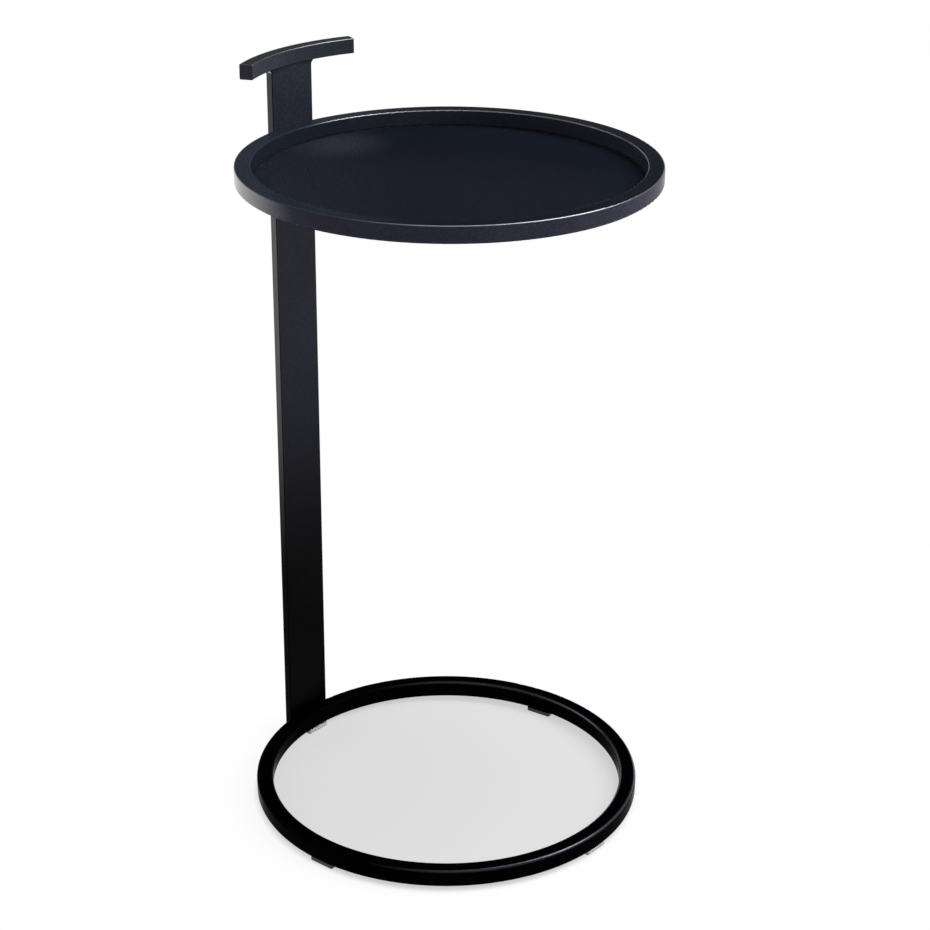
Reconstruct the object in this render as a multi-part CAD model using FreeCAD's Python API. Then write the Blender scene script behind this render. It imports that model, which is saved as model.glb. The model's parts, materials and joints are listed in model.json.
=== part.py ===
import FreeCAD, Part

import math
import os

from FreeCAD import Placement, Rotation, Vector

# Side table in painted steel: a round tray and an open ring base, both seated on
# the front of one flat upright post that carries an arched handle on its top.
# Millimetres. The floor is Z = 0, the post stands at the back (+Y), and X = 0 is
# the plane of symmetry.

# Tray: a ring of square bar with a flat sheet under it
tray_radius = 190.0
tray_top = 640.0
rim_width = 15.0
rim_height = 15.0
rim_arris = 1.5
floor_thickness = 1.5
floor_setback = 3.0
floor_arris = 0.5

# Base: an open ring of heavier bar with well rounded arrises
base_radius = 187.0
base_width = 16.0
base_height = 18.0
base_arris = 4.0

# Post: a flat bar with 45 degree corners that widen it under the handle
post_width = 53.5
post_thickness = 7.5
post_arris = 0.9
post_shoulder = 4.0

# Handle: a bar bent to an arc in plan, hollow side towards the tray. Its top is
# this far above the tray's
handle_rise = 71.5
handle_inner_radius = 168.0
handle_depth = 12.5
handle_height = 14.0
handle_half_angle = 24.0
handle_back_overhang = 3.5
handle_arris = 0.9
handle_end_arris = 0.5

# Glides: soft pads stuck under the base ring, a little inside the middle of the
# bar, at these angles from +X. They are put on by hand: the right one is off its
# quarter turn
glide_length = 26.5
glide_width = 13.0
glide_height = 4.0
glide_inset = 1.0
glide_corner = 1.6
glide_arris = 0.7
glide_angles = {"glide_back": 90, "glide_left": 180, "glide_front": 270, "glide_right": 5.5}

# Countersunk socket screws, put in from the back of the post
screw_diameter = 6.0
screw_length = 16.0
screw_spacing = 28.0
screw_sink = 0.2
screw_tip_chamfer = 0.8
head_diameter = 12.0
head_edge = 0.3
socket_across_flats = 4.0
socket_depth = 2.4
socket_sides = 6

# Holes for the screws
hole_diameter = 6.6
head_gap = 0.1
thread_gap = 0.1
thread_depth = 9.6
drill_point_angle = 118.0

# Every cutter runs this far past the face that it opens
overrun = 2.0

# Each ring is ground flat at the back until its seat is as wide as the post
tray_seat = math.sqrt(tray_radius ** 2 - (post_width / 2) ** 2)
base_seat = math.sqrt(base_radius ** 2 - (post_width / 2) ** 2)

# The depth, from the front of the tray to the back of the handle, is centred
# on Y = 0
depth = tray_radius + tray_seat + post_thickness + handle_back_overhang
post_back = depth / 2 - handle_back_overhang
post_front = post_back - post_thickness
tray_y = post_front - tray_seat
base_y = post_front - base_seat
handle_y = depth / 2 - handle_depth - handle_inner_radius

handle_top = tray_top + handle_rise
rim_bottom = tray_top - rim_height
rim_middle = tray_top - rim_height / 2
base_middle = glide_height + base_height / 2
post_top = handle_top - handle_height


def outline_face(points):
    """Flat face inside straight lines through the points."""
    return Part.Face(Part.makePolygon(points + points[:1]))


def bar_section(inner, bottom, width, height, arris):
    """Section of a bent bar in the XZ plane, its corners rounded to the arris."""
    outer = inner + width
    top = bottom + height
    corners = [(inner, bottom), (outer, bottom), (outer, top), (inner, top)]
    directions = [(1, 0), (0, 1), (-1, 0), (0, -1)]
    inset = arris * (1 - math.cos(math.radians(45)))
    edges = []
    for index, (x, z) in enumerate(corners):
        corner = Vector(x, 0, z)
        ahead = Vector(directions[index][0], 0, directions[index][1])
        behind = Vector(-directions[index - 1][0], 0, -directions[index - 1][1])
        arc_start = corner + behind * arris
        arc_middle = corner + (ahead + behind) * inset
        arc_end = corner + ahead * arris
        edges.append(Part.Arc(arc_start, arc_middle, arc_end).toShape())
        next_x, next_z = corners[(index + 1) % len(corners)]
        next_start = Vector(next_x, 0, next_z) - ahead * arris
        edges.append(Part.LineSegment(arc_end, next_start).toShape())
    return Part.Face(Part.Wire(edges))


def ring(radius, width, bottom, height, arris, centre_y):
    """Square bar rolled to a full ring, ground flat where it meets the post."""
    section = bar_section(radius - width, bottom, width, height, arris)
    rolled = section.revolve(Vector(0, 0, 0), Vector(0, 0, 1), 360)
    rolled.translate(Vector(0, centre_y, 0))
    waste = Part.makeBox(2 * radius, radius, height + 2 * overrun,
                         Vector(-radius, post_front, bottom - overrun))
    return rolled.cut(waste)


def turned(profile, z):
    """Solid turned about the Y axis from points of radius and depth below the
    post's back face, set at each of the two screw places at this height."""
    points = [Vector(radius, post_back - below, 0) for radius, below in profile]
    blank = outline_face(points).revolve(Vector(0, 0, 0), Vector(0, 1, 0), 360)
    copies = []
    for side in (-1, 1):
        copy = blank.copy()
        copy.translate(Vector(side * screw_spacing / 2, 0, z))
        copies.append(copy)
    return copies


def post_hole_cutters(z):
    """Clearance holes through the post, countersunk from the back."""
    mouth = head_diameter / 2 + head_gap
    bore = hole_diameter / 2
    flat = screw_sink + head_edge
    profile = [(0, -overrun), (mouth, -overrun), (mouth, flat), (bore, flat + mouth - bore),
               (bore, post_thickness + overrun), (0, post_thickness + overrun)]
    return turned(profile, z)


def thread_hole_cutters(z):
    """Blind tapped holes in a ring, with the drill's cone at the end."""
    bore = screw_diameter / 2 + thread_gap
    end = post_thickness + thread_depth
    point = bore / math.tan(math.radians(drill_point_angle / 2))
    start = post_thickness - overrun
    profile = [(0, start), (bore, start), (bore, end), (0, end + point)]
    return turned(profile, z)


def screws(z):
    """Two countersunk socket screws at this height, heads just under the face."""
    shank = screw_diameter / 2
    head = head_diameter / 2
    top = screw_sink
    cone_end = top + head_edge + head - shank
    tip = top + screw_length
    profile = [(0, top), (head, top), (head, top + head_edge), (shank, cone_end),
               (shank, tip - screw_tip_chamfer), (shank - screw_tip_chamfer, tip), (0, tip)]
    socket_radius = socket_across_flats / 2 / math.cos(math.pi / socket_sides)
    corners = []
    for index in range(socket_sides):
        angle = 2 * math.pi * index / socket_sides
        corners.append(Vector(socket_radius * math.cos(angle), post_back - top - socket_depth,
                              socket_radius * math.sin(angle)))
    key = outline_face(corners).extrude(Vector(0, socket_depth + overrun, 0))
    made = []
    for side, blank in zip((-1, 1), turned(profile, z)):
        hexagon = key.copy()
        hexagon.translate(Vector(side * screw_spacing / 2, 0, z))
        made.append(blank.cut(hexagon))
    return Part.makeCompound(made)


def make_tray_rim():
    rim = ring(tray_radius, rim_width, rim_bottom, rim_height, rim_arris, tray_y)
    return rim.cut(thread_hole_cutters(rim_middle))


def make_tray_floor():
    """A flat disc whose top is two faces: the floor inside the rim, on which things
    stand, and the border on which the rim stands."""
    outer = tray_radius - floor_setback
    inside_rim = tray_radius - rim_width
    bottom = rim_bottom - floor_thickness
    profile = [(0, bottom), (outer, bottom), (outer, rim_bottom), (inside_rim, rim_bottom), (0, rim_bottom)]
    section = outline_face([Vector(x, 0, z) for x, z in profile])
    disc = section.revolve(Vector(0, 0, 0), Vector(0, 0, 1), 360)
    disc.translate(Vector(0, tray_y, 0))
    circles = [edge for edge in disc.Edges if isinstance(edge.Curve, Part.Circle)]
    rims = [edge for edge in circles if abs(edge.Curve.Radius - outer) < floor_arris]
    return disc.makeFillet(floor_arris, rims)


def make_base_ring():
    base = ring(base_radius, base_width, glide_height, base_height, base_arris, base_y)
    return base.cut(thread_hole_cutters(base_middle))


def make_post():
    half = post_width / 2
    shoulder_half = half + post_shoulder
    shoulder_bottom = post_top - post_shoulder
    outline = [Vector(-half, post_front, glide_height), Vector(half, post_front, glide_height),
               Vector(half, post_front, shoulder_bottom), Vector(shoulder_half, post_front, post_top),
               Vector(-shoulder_half, post_front, post_top), Vector(-half, post_front, shoulder_bottom)]
    bar = outline_face(outline).extrude(Vector(0, post_thickness, 0))
    # the arrises run round the front and back faces, but not under the handle
    along = [edge for edge in bar.Edges if abs(edge.tangentAt(edge.FirstParameter).y) < 0.5]
    arrises = [edge for edge in along if edge.BoundBox.ZMin < post_top - post_arris]
    bar = bar.makeFillet(post_arris, arrises)
    for z in (base_middle, rim_middle):
        bar = bar.cut(post_hole_cutters(z))
    return bar


def make_handle_bar():
    section = bar_section(handle_inner_radius, post_top, handle_depth, handle_height, handle_arris)
    start = 90 - handle_half_angle
    section.rotate(Vector(0, 0, 0), Vector(0, 0, 1), start)
    bar = section.revolve(Vector(0, 0, 0), Vector(0, 0, 1), 2 * handle_half_angle)
    bar.translate(Vector(0, handle_y, 0))
    flats = [face for face in bar.Faces if isinstance(face.Surface, Part.Plane)]
    ends = [face for face in flats if abs(face.normalAt(0, 0).z) < 0.5]
    return bar.makeFillet(handle_end_arris, [edge for face in ends for edge in face.Edges])


def make_glide(angle):
    """One pad, lengthwise along the ring at this angle."""
    middle = base_radius - base_width / 2 - glide_inset
    pad = Part.makeBox(glide_length, glide_width, glide_height,
                       Vector(-glide_length / 2, -glide_width / 2, 0))
    upright = [edge for edge in pad.Edges if abs(edge.tangentAt(edge.FirstParameter).z) > 0.5]
    pad = pad.makeFillet(glide_corner, upright)
    pad = pad.makeFillet(glide_arris, [edge for edge in pad.Edges if edge.BoundBox.ZMax < glide_arris])
    turn = Rotation(Vector(0, 0, 1), angle - 90)
    place = turn.multVec(Vector(0, middle, 0)) + Vector(0, base_y, 0)
    pad.Placement = Placement(place, turn)
    return pad


def main():
    os.makedirs("parts", exist_ok=True)
    nodes = {
        "tray_rim": make_tray_rim(),
        "tray_floor": make_tray_floor(),
        "base_ring": make_base_ring(),
        "post": make_post(),
        "handle_bar": make_handle_bar(),
        "tray_screws": screws(rim_middle),
        "base_screws": screws(base_middle),
    }
    for name, angle in glide_angles.items():
        nodes[name] = make_glide(angle)
    for name, shape in nodes.items():
        shape.exportStep("parts/" + name + ".step")
        volume = round(shape.Volume / 1000, 2)
        print(name, "solids", len(shape.Solids), "valid", shape.isValid(), "volume cm3", volume)


main()
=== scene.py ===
import json
import math

import bmesh
import bpy
from mathutils import Matrix, Vector, noise

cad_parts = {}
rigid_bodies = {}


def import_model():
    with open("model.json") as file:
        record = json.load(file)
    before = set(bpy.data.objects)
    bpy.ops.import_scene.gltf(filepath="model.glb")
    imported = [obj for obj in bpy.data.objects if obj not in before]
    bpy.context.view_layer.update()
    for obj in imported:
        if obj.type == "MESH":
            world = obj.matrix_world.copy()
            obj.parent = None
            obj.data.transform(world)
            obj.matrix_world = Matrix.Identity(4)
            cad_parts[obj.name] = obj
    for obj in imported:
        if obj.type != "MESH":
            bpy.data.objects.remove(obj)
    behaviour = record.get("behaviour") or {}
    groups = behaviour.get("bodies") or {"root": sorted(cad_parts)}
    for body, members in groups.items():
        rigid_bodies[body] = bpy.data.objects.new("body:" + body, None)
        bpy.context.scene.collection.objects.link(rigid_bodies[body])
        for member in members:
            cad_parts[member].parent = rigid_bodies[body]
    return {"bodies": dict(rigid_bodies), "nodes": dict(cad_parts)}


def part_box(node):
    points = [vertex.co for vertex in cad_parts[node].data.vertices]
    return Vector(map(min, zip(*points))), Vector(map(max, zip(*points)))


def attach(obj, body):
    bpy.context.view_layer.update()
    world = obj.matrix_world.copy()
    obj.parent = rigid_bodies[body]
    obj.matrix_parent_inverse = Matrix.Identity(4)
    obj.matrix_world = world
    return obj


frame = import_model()

# Side table in black painted steel. Metres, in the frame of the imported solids, which
# give every main shape. Made here: the paint line in the tray's inner corner, all the
# finishes, the studio and the camera.

kept = [*frame["nodes"].values(), *frame["bodies"].values()]
for stray in [thing for thing in bpy.data.objects if thing not in kept]:
    bpy.data.objects.remove(stray)
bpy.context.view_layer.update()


# A ring's place from the frame, and its bar's width and rounding as in the solid. The
# back is ground off, so its upright axis is found from the front and the right
def measureRing(node, width, arris):
    low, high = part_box(node)
    return {"outer": high.x, "inner": high.x - width, "width": width, "arris": arris,
            "axisNorth": low.y + high.x, "low": low.z, "height": high.z - low.z}


rimSize = measureRing("tray_rim", 0.015, 0.0015)
baseSize = measureRing("base_ring", 0.016, 0.004)
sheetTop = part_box("tray_floor")[1].z
leftward = (-0.63, 0.78, 0.0)  # level, to the left of the camera's line of sight
print("frame loaded, tray radius", round(rimSize["outer"], 4))


class Wire:  # one output socket, on which Python's operators work
    def __init__(self, sheet, socket):
        self.sheet = sheet
        self.socket = socket

    def maths(self, operation, first, second):
        return self.sheet.node("Math", {"operation": operation}, {0: first, 1: second})

    def __add__(self, other):
        return self.maths("ADD", self, other)

    def __radd__(self, other):
        return self.maths("ADD", other, self)

    def __sub__(self, other):
        return self.maths("SUBTRACT", self, other)

    def __rsub__(self, other):
        return self.maths("SUBTRACT", other, self)

    def __mul__(self, other):
        return self.maths("MULTIPLY", self, other)

    def __rmul__(self, other):
        return self.maths("MULTIPLY", other, self)


class Sheet:  # the node tree of a material or of the world
    def __init__(self, owner):
        owner.use_nodes = True
        self.tree = owner.node_tree
        self.tree.nodes.clear()

    def node(self, kind, settings=None, inputs=None, outputs=0):
        made = self.tree.nodes.new("ShaderNode" + kind)
        for name, value in (settings or {}).items():
            if name == "stops":
                for place, shade in value[2:]:
                    made.color_ramp.elements.new(place)
                for element, (place, shade) in zip(made.color_ramp.elements, value):
                    element.position = place
                    element.color = (shade, shade, shade, 1)
            else:
                setattr(made, name, value)
        for name, value in (inputs or {}).items():
            if isinstance(value, Wire):
                self.tree.links.new(value.socket, made.inputs[name])
            else:
                made.inputs[name].default_value = value
        if isinstance(outputs, list):
            return [Wire(self, made.outputs[name]) for name in outputs]
        return Wire(self, made.outputs[outputs]) if made.outputs else made

    def noise(self, place, scale, detail=2.0):
        return self.node("TexNoise", None, {"Vector": place, "Scale": scale, "Detail": detail})

    def ease(self, value, start, end):  # 0 at start, 1 at end, smooth between them
        return self.node("MapRange", {"interpolation_type": "SMOOTHSTEP"},
                         {"Value": value, "From Min": start, "From Max": end})

    def hold(self, value, limit):  # between limit and -limit
        return self.node("Clamp", None, {"Value": value, "Min": -limit, "Max": limit})

    def blend(self, share, first, second):
        return self.node("Mix", {"data_type": "RGBA"}, {0: share, 6: first, 7: second}, 2)

    def vectors(self, operation, first, second=(0, 0, 0), output="Vector"):
        return self.node("VectorMath", {"operation": operation}, {0: first, 1: second}, output)

    def along(self, vector, direction):
        return self.vectors("DOT_PRODUCT", vector, direction, "Value")

    def scaled(self, vector, factor):
        return self.node("VectorMath", {"operation": "SCALE"}, {0: vector, "Scale": factor})

    def spread(self, vector):
        return self.node("SeparateXYZ", None, {0: vector}, ["X", "Y", "Z"])

    def normal(self):
        return self.node("NewGeometry", None, None, "Normal")

    def bump(self, height, depth, normal=None):
        inputs = {"Height": height, "Strength": 1.0, "Distance": depth}
        if normal is not None:
            inputs["Normal"] = normal
        return self.node("Bump", None, inputs)


def newMaterial(name):
    material = bpy.data.materials.new(name)
    sheet = Sheet(material)
    return material, sheet, sheet.node("TexCoord", None, None, "Object")


def levelFrom(sheet, place, north):  # the level way out from the upright axis at this north
    return sheet.vectors("MULTIPLY", sheet.vectors("SUBTRACT", place, (0, north, 0)), (1, 1, 0))


def reachFrom(sheet, place, north):  # how long that way is
    return sheet.vectors("LENGTH", levelFrom(sheet, place, north), output="Value")


def finishMaterial(sheet, inputs):
    shader = sheet.node("BsdfPrincipled", None, inputs)
    sheet.node("OutputMaterial", None, {"Surface": shader})


def setFinish(nodeNames, material):
    for name in nodeNames:
        for slot in frame["nodes"][name].material_slots:
            slot.material = material


def mottled(sheet, place, colour, look):  # fine lighter and darker specks, or streaks
    stretched = sheet.vectors("MULTIPLY", place, look["mottleStretch"])
    mottle = sheet.ease(sheet.noise(stretched, look["mottleScale"]), *look["mottleSpan"])
    return sheet.scaled(colour, 1 + (mottle - 0.5) * look["mottle"])


# Satin paint: a fine orange peel, faint clouds in the gloss and dust caught in it, all
# smoothed away where the calm mask is 0
def satinPaint(sheet, place, look, calm, normal):
    peel = sheet.noise(place, look["peelScale"])
    grain = sheet.noise(place, look["grainScale"], 1.0)
    cloud = sheet.ease(sheet.noise(place, look["cloudScale"], 3.0), *look["cloudSpan"])
    dust = sheet.node("TexVoronoi", None, {"Vector": place, "Scale": look["dustScale"]})
    dust = 1 - sheet.ease(dust, *look["dustSpan"])
    colour = sheet.blend(cloud, look["dark"], look["light"])
    colour = sheet.blend(dust * look["dustShow"], colour, look["dustColour"])
    uneven = (cloud - 0.5) * look["cloudGloss"] + (peel - 0.5) * look["peelGloss"]
    height = peel * look["peelShare"] + grain * (1 - look["peelShare"]) + dust * look["dustHeight"]
    bump = sheet.bump(height * calm, look["peelDepth"], normal)
    return colour, look["roughness"] + uneven * calm, bump


# The way a ring of bar faces, worked out from its section, because its long thin facets
# would break up the light along a narrow arris. What lies inside the section, as the seat
# at the back does, keeps its own
def ringNormal(sheet, place, look):
    level = levelFrom(sheet, place, look["axisNorth"])
    across = sheet.vectors("LENGTH", level, output="Value") - (look["outer"] - look["width"] / 2)
    above = sheet.spread(place)[2] - (look["low"] + look["height"] / 2)
    across = across - sheet.hold(across, look["width"] / 2 - look["arris"])
    above = above - sheet.hold(above, look["height"] / 2 - look["arris"])
    facing = sheet.vectors("ADD", sheet.scaled(sheet.vectors("NORMALIZE", level), across),
                           sheet.node("CombineXYZ", None, {2: above}))
    depth = sheet.vectors("LENGTH", facing, output="Value")
    rolled = sheet.ease(depth, look["arris"] * 0.5, look["arris"] * 0.9)
    return sheet.blend(rolled, sheet.normal(), sheet.vectors("NORMALIZE", facing))


# The bars' tops are darker than their sides, a painted shade, and their upper arrises are rubbed through
# to a dull metal sheen, in a line where they lean half way between side and top
def makeBarPaint(name, look):
    material, sheet, place = newMaterial(name)
    normal = ringNormal(sheet, place, look) if "axisNorth" in look else sheet.normal()
    east, lift = sheet.spread(normal)[::2]
    arris = 4 * lift * lift * (1 - lift * lift) * sheet.ease(lift, *look["upperSpan"])
    arris = sheet.node("Math", {"operation": "POWER"}, {0: arris, 1: look["arrisPower"]})
    colour, roughness, bump = satinPaint(sheet, place, look, 1 - arris, normal)
    rub = sheet.ease(sheet.noise(place, look["rubScale"], 4.0), *look["rubSpan"])
    worn = arris * (1 - look["rubVary"] * (1 - rub))
    inputs = {"Roughness": roughness + arris * look["arrisDull"], "Specular IOR Level": look["gloss"],
              "Normal": bump}
    paintedTopColour = look["paintedTopColour"]
    if "wallColour" in look:
        # The rim's inner wall has its own colour and no coat. Its outer side has a gloss coat round the
        # left, there for a painted sheen at that end. Towards the left the wall is darker, a painted
        # shade, and the top paler, a painted light, both near the colour of the sheet
        wall = reachFrom(sheet, place, look["axisNorth"]) - look["inner"]
        wall = 1 - sheet.ease(wall, *look["wallSpan"])
        # Painted light and shade: the top paler and the wall darker towards the left
        left = sheet.ease(sheet.along(place, leftward), *look["leftSpan"])
        wallColour = sheet.blend(left, look["wallColour"], look["shadedWallLeft"])
        paintedTopColour = sheet.blend(left, paintedTopColour, look["paintedTopLeft"])
        colour = sheet.blend(wall, colour, wallColour)
        coat = sheet.ease(sheet.along(normal, leftward), *look["coatSpan"]) * (1 - wall)
        inputs.update({"Coat Weight": coat, "Coat Roughness": look["roughness"],
                       "Coat IOR": look["coatIor"]})
    # Painted light: the end faces take a paler colour
    if "litEndColour" in look:
        colour = sheet.blend(sheet.ease(east * east, *look["endSpan"]), colour, look["litEndColour"])
    if "innerWear" in look:
        # Where the rubbing of the inner and of the outer arris ends towards the left
        left = sheet.along(place, leftward)
        inner = 1 - sheet.ease(left, *look["innerWear"])
        outer = 1 - sheet.ease(left, *look["outerWear"])
        outside = reachFrom(sheet, place, look["axisNorth"]) - (look["outer"] - look["width"] / 2)
        worn = worn * (inner + sheet.ease(outside, *look["middleSpan"]) * (outer - inner))
    # Painted shade: faces that look up take the darker top colour
    colour = sheet.blend(sheet.ease(lift, *look["topSpan"]), colour, paintedTopColour)
    colour = mottled(sheet, place, colour, look)
    inputs.update({"Base Color": sheet.blend(worn, colour, look["wornColour"]), "Metallic": worn})
    finishMaterial(sheet, inputs)
    return material


# A span is the two values between which a mask goes from none to all: of a noise, of a
# place in metres, or in upperSpan, topSpan, endSpan and coatSpan of the way a face looks
barPaint = {
    "roughness": 0.22, "cloudScale": 16.0, "cloudSpan": (0.35, 0.65), "cloudGloss": 0.02,
    "peelScale": 900.0, "peelDepth": 0.000006, "peelShare": 0.7, "peelGloss": 0.1, "grainScale": 4200.0,
    "mottle": 0.40, "mottleScale": 800.0, "mottleStretch": (1, 1, 1), "mottleSpan": (0.3, 0.7),
    "dustScale": 90.0, "dustSpan": (0.025, 0.05), "dustHeight": 0.8, "dustShow": 0.5,
    "dustColour": (0.05, 0.055, 0.07, 1), "wornColour": (0.21, 0.216, 0.240, 1), "arrisDull": 0.10,
    "arrisPower": 2.0, "rubScale": 260.0, "rubSpan": (0.3, 0.6), "rubVary": 0.08,
    "upperSpan": (0.0, 0.2), "topSpan": (0.9, 0.99), "middleSpan": (-0.001, 0.001),
}

trayPaint = dict(barPaint, **rimSize, dark=(0.0330, 0.0343, 0.0515, 1),
                 light=(0.0382, 0.0397, 0.0596, 1), gloss=0.02,
                 paintedTopColour=(0.0040, 0.0050, 0.0090, 1), paintedTopLeft=(0.0120, 0.0165, 0.0250, 1),
                 wallColour=(0.0310, 0.0350, 0.0475, 1), shadedWallLeft=(0.0130, 0.0165, 0.0255, 1),
                 wallSpan=(0.0003, 0.0012), leftSpan=(0.0, 0.13), coatSpan=(0.66, 0.90), coatIor=1.9,
                 innerWear=(0.095, 0.14), outerWear=(0.02, 0.09))
setFinish(["tray_rim"], makeBarPaint("trayPaint", trayPaint))

# The handle's end faces are paler than its front, a painted light
handlePaint = dict(barPaint, dark=(0.0330, 0.0363, 0.0486, 1), light=(0.0376, 0.0409, 0.0538, 1),
                   paintedTopColour=(0.0150, 0.0166, 0.0230, 1), litEndColour=(0.0560, 0.0560, 0.0720, 1),
                   endSpan=(0.6, 0.8), gloss=0.01)
setFinish(["handle_bar"], makeBarPaint("handlePaint", handlePaint))

basePaint = dict(barPaint, **baseSize, dark=(0.0006, 0.0006, 0.0010, 1),
                 light=(0.0010, 0.0010, 0.0016, 1), paintedTopColour=(0.0006, 0.0006, 0.0010, 1),
                 gloss=0.002, roughness=0.16, cloudGloss=0.01, peelDepth=0.000003,
                 wornColour=(0.070, 0.074, 0.089, 1), arrisPower=4.0, arrisDull=0.05,
                 innerWear=(-0.06, 0.08), outerWear=(-0.06, 0.08))
setFinish(["base_ring"], makeBarPaint("basePaint", basePaint))

# The post's satin is a second coat that fades out downwards, glossier on its narrow flanks; its fading
# stands in for a sheen that fades down the post. Its colour is paler above the tray, a painted light, and
# darkens to near black towards the foot, a painted shade. At the arrises it is near black and has no coat,
# and under the shoulders it is bright metal, there for a painted glint
postPaint = dict(barPaint, dark=(0.0098, 0.0106, 0.0226, 1), light=(0.0120, 0.0130, 0.0258, 1),
                 shadedFootColour=(0.0005, 0.0005, 0.0008, 1), paintedTopColour=(0.0190, 0.0222, 0.0338, 1),
                 paleSpan=(0.56, 0.64), shoulderGlintColour=(0.75, 0.75, 0.78, 1),
                 shoulderFrom=(0.55, 0.68), shoulderTo=(0.74, 0.85), gloss=0.02, roughness=0.33,
                 satinAndShadeSpan=(0.17, 0.47), coatFront=0.13, coatFlank=0.95, coatTop=0.4, coatIor=1.8,
                 mottle=0.65, mottleStretch=(1, 1, 0.45))


def makePostPaint(look):
    material, sheet, place = newMaterial("postPaint")
    normal = sheet.normal()
    east, north, up = sheet.spread(normal)
    arris = 4 * east * east * north * north
    colour, roughness, bump = satinPaint(sheet, place, look, 1 - arris, normal)
    # Painted glint: bright metal on the faces under the shoulders
    down = 0 - up
    shoulder = sheet.ease(down, *look["shoulderFrom"]) * (1 - sheet.ease(down, *look["shoulderTo"]))
    height = sheet.spread(place)[2]
    # Painted light: paler above the tray
    top = sheet.ease(height, *look["paleSpan"])
    colour = mottled(sheet, place, sheet.blend(top, colour, look["paintedTopColour"]), look)
    satinAndShade = sheet.ease(height, *look["satinAndShadeSpan"]) * (1 - arris)
    flank = east * east * (1 - top * (1 - look["coatTop"]))
    coat = satinAndShade * (look["coatFront"] + flank * (look["coatFlank"] - look["coatFront"]))
    # Painted shade: near black towards the foot and at the arrises
    colour = sheet.blend(satinAndShade, look["shadedFootColour"], colour)
    finishMaterial(sheet, {"Base Color": sheet.blend(shoulder, colour, look["shoulderGlintColour"]),
                           "Metallic": shoulder, "Roughness": roughness,
                           "Specular IOR Level": look["gloss"], "Coat Weight": coat,
                           "Coat Roughness": look["roughness"], "Coat IOR": look["coatIor"],
                           "Normal": bump})
    return material


setFinish(["post"], makePostPaint(postPaint))
print("bars painted")


# The sheet's powder coat is duller and grainier than the bars' paint. It is paler towards the left and in
# a soft patch before the post, a painted sheen, and has nibs of paint along the joint with the rim, whose
# paler colour is a painted glint
sheetPaint = {
    "dark": (0.0031, 0.0045, 0.0092, 1), "light": (0.0041, 0.0059, 0.0116, 1), "gloss": 0.04,
    "paintedSheenLeft": (0.0098, 0.0120, 0.0196, 1), "paintedSheenSpan": (0.02, 0.18),
    "paintedSheenPatch": (0.0190, 0.0218, 0.0305, 1), "sheenPatchPlace": (0.018, 0.148, 0.625), "sheenPatchReach": 0.062,
    "mottle": 1.4, "mottleScale": 560.0, "mottleStretch": (1, 1, 1), "mottleSpan": (0.3, 0.7),
    "cloudScale": 11.0, "cloudSpan": (0.3, 0.7), "cloudShare": 0.6, "cloudGloss": 0.06,
    "grainScale": 1500.0, "fineScale": 4500.0, "grainShare": 0.6, "grainDepth": 0.00006,
    "grainGloss": 0.12, "roughness": 0.62, "nibScale": 240.0, "nibSpan": (0.10, 0.20),
    "nibBand": 0.016, "nibHeight": 4.0, "nibGlintColour": (0.10, 0.11, 0.14, 1),
    "sparseScale": 60.0, "sparseSpan": (0.5, 0.62),
}


def makeSheetPaint(look, inside):
    material, sheet, place = newMaterial("sheetPaint")
    grain = sheet.noise(place, look["grainScale"], 3.0)
    fine = sheet.noise(place, look["fineScale"], 1.0)
    cloud = sheet.ease(sheet.noise(place, look["cloudScale"], 3.0), *look["cloudSpan"])
    share = cloud * look["cloudShare"] + grain * (1 - look["cloudShare"])
    colour = sheet.blend(share, look["dark"], look["light"])
    # Painted sheen: paler towards the left and in a soft patch before the post
    paintedSheenLeft = sheet.ease(sheet.along(place, leftward), *look["paintedSheenSpan"])
    colour = sheet.blend(paintedSheenLeft, colour, look["paintedSheenLeft"])
    paintedSheenPatch = sheet.vectors("DISTANCE", place, look["sheenPatchPlace"], "Value")
    paintedSheenPatch = 1 - sheet.ease(paintedSheenPatch, 0.0, look["sheenPatchReach"])
    colour = mottled(sheet, place, sheet.blend(paintedSheenPatch, colour, look["paintedSheenPatch"]), look)
    nib = sheet.node("TexVoronoi", None, {"Vector": place, "Scale": look["nibScale"]})
    nearWall = sheet.ease(reachFrom(sheet, place, rimSize["axisNorth"]), inside - look["nibBand"], inside)
    sparse = sheet.ease(sheet.noise(place, look["sparseScale"]), *look["sparseSpan"])
    nib = (1 - sheet.ease(nib, *look["nibSpan"])) * nearWall * sparse
    height = grain * look["grainShare"] + fine * (1 - look["grainShare"]) + nib * look["nibHeight"]
    roughness = look["roughness"] + (cloud - 0.5) * look["cloudGloss"] + (grain - 0.5) * look["grainGloss"]
    # The nibs are small bumps; their paler colour is a painted glint
    finishMaterial(sheet, {"Base Color": sheet.blend(nib, colour, look["nibGlintColour"]),
                           "Roughness": roughness, "Specular IOR Level": look["gloss"],
                           "Normal": sheet.bump(height, look["grainDepth"])})
    return material


setFinish(["tray_floor"], makeSheetPaint(sheetPaint, rimSize["inner"]))

# A thin bead in the corner between sheet and rim, uneven as a brushed or sprayed line is, near black as a
# painted shade of the gap there
traySeam = {"thickness": 0.0008, "unevenness": 0.35, "lumpScale": 160.0, "sides": 8, "steps": 720,
            "colour": (0.0015, 0.0018, 0.0030, 1), "gloss": 0.1, "roughness": 0.6,
            "cloudScale": 300.0, "cloudGloss": 0.2, "cloudDepth": 0.0001}


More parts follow.
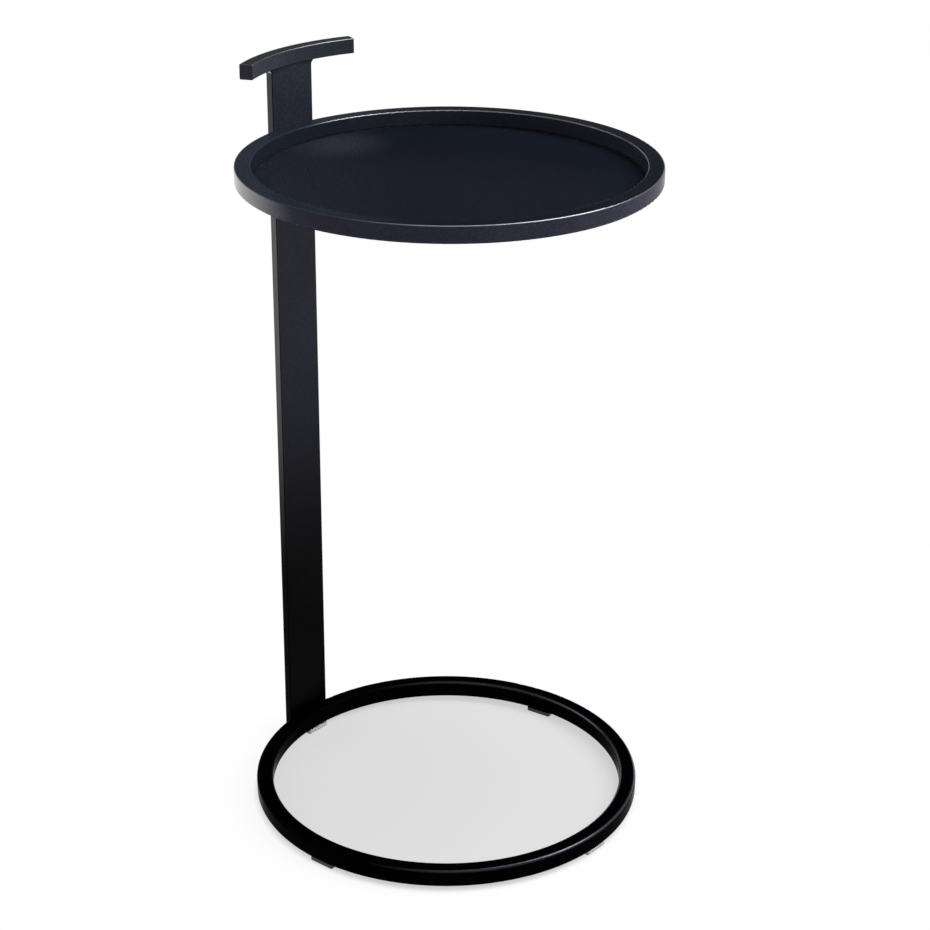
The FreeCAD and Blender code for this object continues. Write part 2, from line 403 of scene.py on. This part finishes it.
def makeTraySeam(look, radius, north):
    centre = Vector((0, north, 0))
    shape = bmesh.new()
    stand = Matrix.Translation((radius, north, sheetTop)) @ Matrix.Rotation(math.pi / 2, 4, "X")
    bmesh.ops.create_circle(shape, segments=look["sides"], radius=look["thickness"], matrix=stand)
    bmesh.ops.spin(shape, geom=[*shape.verts, *shape.edges], cent=centre, axis=(0, 0, 1),
                   angle=2 * math.pi, steps=look["steps"], use_merge=True)
    for vert in shape.verts:
        outward = (vert.co - centre).to_2d().normalized() * radius
        core = Vector((outward.x, outward.y + north, sheetTop))
        swell = 1 + look["unevenness"] * noise.noise(core * look["lumpScale"])
        vert.co = core + (vert.co - core) * swell
    bmesh.ops.recalc_face_normals(shape, faces=shape.faces)
    mesh = bpy.data.meshes.new("tray_seam")
    shape.to_mesh(mesh)
    shape.free()
    mesh.shade_smooth()
    seam = bpy.data.objects.new("tray_seam", mesh)
    bpy.context.scene.collection.objects.link(seam)
    material, sheet, place = newMaterial("seamShadeLine")
    cloud = sheet.noise(place, look["cloudScale"], 3.0)
    # Painted shade: the bead is near black
    finishMaterial(sheet, {"Base Color": sheet.blend(cloud, look["colour"], sheetPaint["dark"]),
                           "Roughness": look["roughness"] + (cloud - 0.5) * look["cloudGloss"],
                           "Specular IOR Level": look["gloss"],
                           "Normal": sheet.bump(cloud, look["cloudDepth"])})
    mesh.materials.append(material)
    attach(seam, "root")


makeTraySeam(traySeam, rimSize["inner"], rimSize["axisNorth"])
print("tray sheet painted, corner line made")


# Clouds in colour and gloss over a fine grain
def cloudyFinish(sheet, place, look):
    cloud = sheet.noise(place, look["cloudScale"], 3.0)
    roughness = look["roughness"] + (cloud - 0.5) * look["cloudGloss"]
    bump = sheet.bump(sheet.noise(place, look["fineScale"]), look["fineDepth"])
    return cloud, {"Roughness": roughness, "Normal": bump}


# Black oxide on the screws, a little browned
screwSteel = {"dark": (0.018, 0.018, 0.020, 1), "light": (0.05, 0.046, 0.043, 1), "metallic": 0.85,
              "roughness": 0.38, "cloudScale": 700.0, "cloudGloss": 0.25, "fineScale": 5000.0,
              "fineDepth": 0.00001}


def makeScrewSteel(look):
    material, sheet, place = newMaterial("screwSteel")
    cloud, inputs = cloudyFinish(sheet, place, look)
    inputs.update({"Base Color": sheet.blend(cloud, look["dark"], look["light"]),
                   "Metallic": look["metallic"]})
    finishMaterial(sheet, inputs)
    return material


setFinish(["tray_screws", "base_screws"], makeScrewSteel(screwSteel))

# Milky soft plastic, greyer at its foot where it meets the floor, a painted contact shadow. The right and
# left glides take a shaded copy of it, near black, a painted shade
paleGlide = {"light": (0.60, 0.57, 0.58, 1), "contactShade": (0.10, 0.10, 0.105, 1),
             "contactShadeSpan": (0.00072, 0.0012), "roughness": 0.35, "cloudScale": 220.0,
             "cloudGloss": 0.2, "cloudShow": 0.15, "fineScale": 2600.0, "fineDepth": 0.00003}
shadedGlide = dict(paleGlide, light=(0.012, 0.012, 0.013, 1), contactShade=(0.004, 0.004, 0.004, 1))


def makeGlidePlastic(name, look):
    material, sheet, place = newMaterial(name)
    cloud, inputs = cloudyFinish(sheet, place, look)
    # Painted contact shadow: greyer at the foot
    contactShade = 1 - sheet.ease(sheet.spread(place)[2], *look["contactShadeSpan"])
    inputs["Base Color"] = sheet.blend(contactShade + cloud * look["cloudShow"], look["light"], look["contactShade"])
    finishMaterial(sheet, inputs)
    return material


setFinish(["glide_back", "glide_front"], makeGlidePlastic("paleGlide", paleGlide))
# Painted shade: the right and left glides are near black
setFinish(["glide_right", "glide_left"], makeGlidePlastic("shadedGlide", shadedGlide))
print("screws and glides finished")

# A pale floor, pale grey inside the base as a painted shadow and plain white further off, which metal and
# the camera see alike. A share of it is lit paper, which keeps the table's shadow
floorLook = {"radius": 30.0, "sides": 96, "colour": (0.80, 0.80, 0.80, 1),
             "paintedShadowGrey": (0.726, 0.726, 0.726, 1), "white": (1, 1, 1, 1), "greyShare": 0.8,
             "barSpan": (0.180, 0.192), "barShare": 0.93, "whiteSpan": (0.192, 0.245)}


def makeFloor(look):
    shape = bmesh.new()
    bmesh.ops.create_circle(shape, cap_ends=True, segments=look["sides"], radius=look["radius"])
    mesh = bpy.data.meshes.new("floor")
    shape.to_mesh(mesh)
    shape.free()
    ground = bpy.data.objects.new("floor", mesh)
    bpy.context.scene.collection.objects.link(ground)
    material, sheet, place = newMaterial("floorPaper")
    reach = reachFrom(sheet, place, 0.0)
    camera, glossy, clear = sheet.node("LightPath", None, None,
                                       ["Is Camera Ray", "Is Glossy Ray", "Is Transmission Ray"])
    seen = sheet.node("Math", {"operation": "MINIMUM"}, {0: camera + glossy + clear, 1: 1.0})
    outside = sheet.ease(reach, *look["barSpan"])
    share = (look["greyShare"] + outside * (look["barShare"] - look["greyShare"])
             + sheet.ease(reach, *look["whiteSpan"]) * (1 - look["barShare"]))
    paper = sheet.node("BsdfDiffuse", None, {"Color": look["colour"]})
    # Painted shadow: the glow is grey inside the base
    glow = sheet.node("Emission", None, {"Color": sheet.blend(outside, look["paintedShadowGrey"], look["white"]),
                                         "Strength": 1.0})
    surface = sheet.node("MixShader", None, {0: seen * share, 1: paper, 2: glow})
    sheet.node("OutputMaterial", None, {"Surface": surface})
    mesh.materials.append(material)


makeFloor(floorLook)

# The sky of the studio by the height of the direction: white at the horizon, dark above
# it, softly lit overhead
skyLook = {"stops": [(0.0, 1.0), (0.11, 1.0), (0.2, 0.03), (0.5, 0.03), (0.62, 0.2)]}


def makeSky(look):
    world = bpy.data.worlds.new("studio")
    bpy.context.scene.world = world
    sheet = Sheet(world)
    up = sheet.spread(sheet.node("TexCoord", None, None, "Generated"))[2]
    shade = sheet.node("ValToRGB", {"stops": look["stops"]}, {0: up})
    sheet.node("OutputWorld", None, {"Surface": sheet.node("Background", None, {0: shade, 1: 1.0})})


makeSky(skyLook)

# Lamps by their bearing from the camera's line of sight, in degrees to the right of
# straight ahead, and their height above the horizon, all aimed at the middle of the table
cameraLook = {"place": (-1.52133, -1.25582, 1.20160), "turn": -50.9936, "tilt": 23.4452,
              "roll": 0.2525, "lens": 89.048, "sensor": 36.0, "nearest": 0.05, "furthest": 60.0}
lampLook = {
    "keyPanel": {"bearing": 88.0, "height": 54.0, "distance": 2.4, "size": (1.2, 2.0), "power": 70.0,
                 "spread": 180.0},
    "rightPanel": {"bearing": 78.0, "height": 14.0, "distance": 1.9, "size": (1.4, 0.9), "power": 0.8,
                   "spread": 100.0},
    "ceilingPanel": {"bearing": 0.0, "height": 75.0, "distance": 2.4, "size": (1.8, 1.4), "power": 3.2,
                     "spread": 180.0},
    "frontPanel": {"bearing": 180.0, "height": 60.0, "distance": 2.4, "size": (1.8, 1.6), "power": 1.8,
                   "spread": 180.0},
    "leftPanel": {"bearing": -75.0, "height": 30.0, "distance": 2.2, "size": (1.6, 1.4), "power": 11.0,
                  "spread": 180.0},
    "backPanel": {"bearing": -25.0, "height": 16.0, "distance": 2.6, "size": (0.9, 0.8), "power": 0.5,
                  "spread": 120.0},
}
lampAim = Vector((0, 0, 0.35))
sunLook = {"strength": 0.5, "angle": 28.0}


def makeLamp(name, look):
    lamp = bpy.data.lights.new(name, "AREA")
    lamp.shape = "RECTANGLE"
    lamp.size, lamp.size_y = look["size"]
    lamp.energy = look["power"]
    lamp.spread = math.radians(look["spread"])
    bearing = math.radians(90 + cameraLook["turn"] - look["bearing"])
    height = math.radians(look["height"])
    level = math.cos(height)
    away = Vector((math.cos(bearing) * level, math.sin(bearing) * level, math.sin(height)))
    stand = bpy.data.objects.new(name, lamp)
    stand.location = lampAim + away * look["distance"]
    stand.rotation_euler = away.to_track_quat("Z", "Y").to_euler()
    stand.visible_camera = False
    bpy.context.scene.collection.objects.link(stand)


def makeSun(look):  # straight down, as from a wide ceiling
    sun = bpy.data.lights.new("ceiling", "SUN")
    sun.energy = look["strength"]
    sun.angle = math.radians(look["angle"])
    bpy.context.scene.collection.objects.link(bpy.data.objects.new("ceiling", sun))


for lampName, oneLook in lampLook.items():
    makeLamp(lampName, oneLook)
makeSun(sunLook)


def makeCamera(look):
    camera = bpy.data.cameras.new("camera")
    camera.lens = look["lens"]
    camera.sensor_width = look["sensor"]
    camera.sensor_fit = "HORIZONTAL"
    camera.clip_start = look["nearest"]
    camera.clip_end = look["furthest"]
    tripod = bpy.data.objects.new("camera", camera)
    turn = Matrix.Rotation(math.radians(look["turn"]), 4, "Z")
    tilt = Matrix.Rotation(math.radians(90 - look["tilt"]), 4, "X")
    roll = Matrix.Rotation(math.radians(look["roll"]), 4, "Z")
    tripod.matrix_world = Matrix.Translation(look["place"]) @ turn @ tilt @ roll
    bpy.context.scene.collection.objects.link(tripod)
    bpy.context.scene.camera = tripod


makeCamera(cameraLook)
bpy.context.scene.view_settings.view_transform = "Standard"
print("studio and camera set")
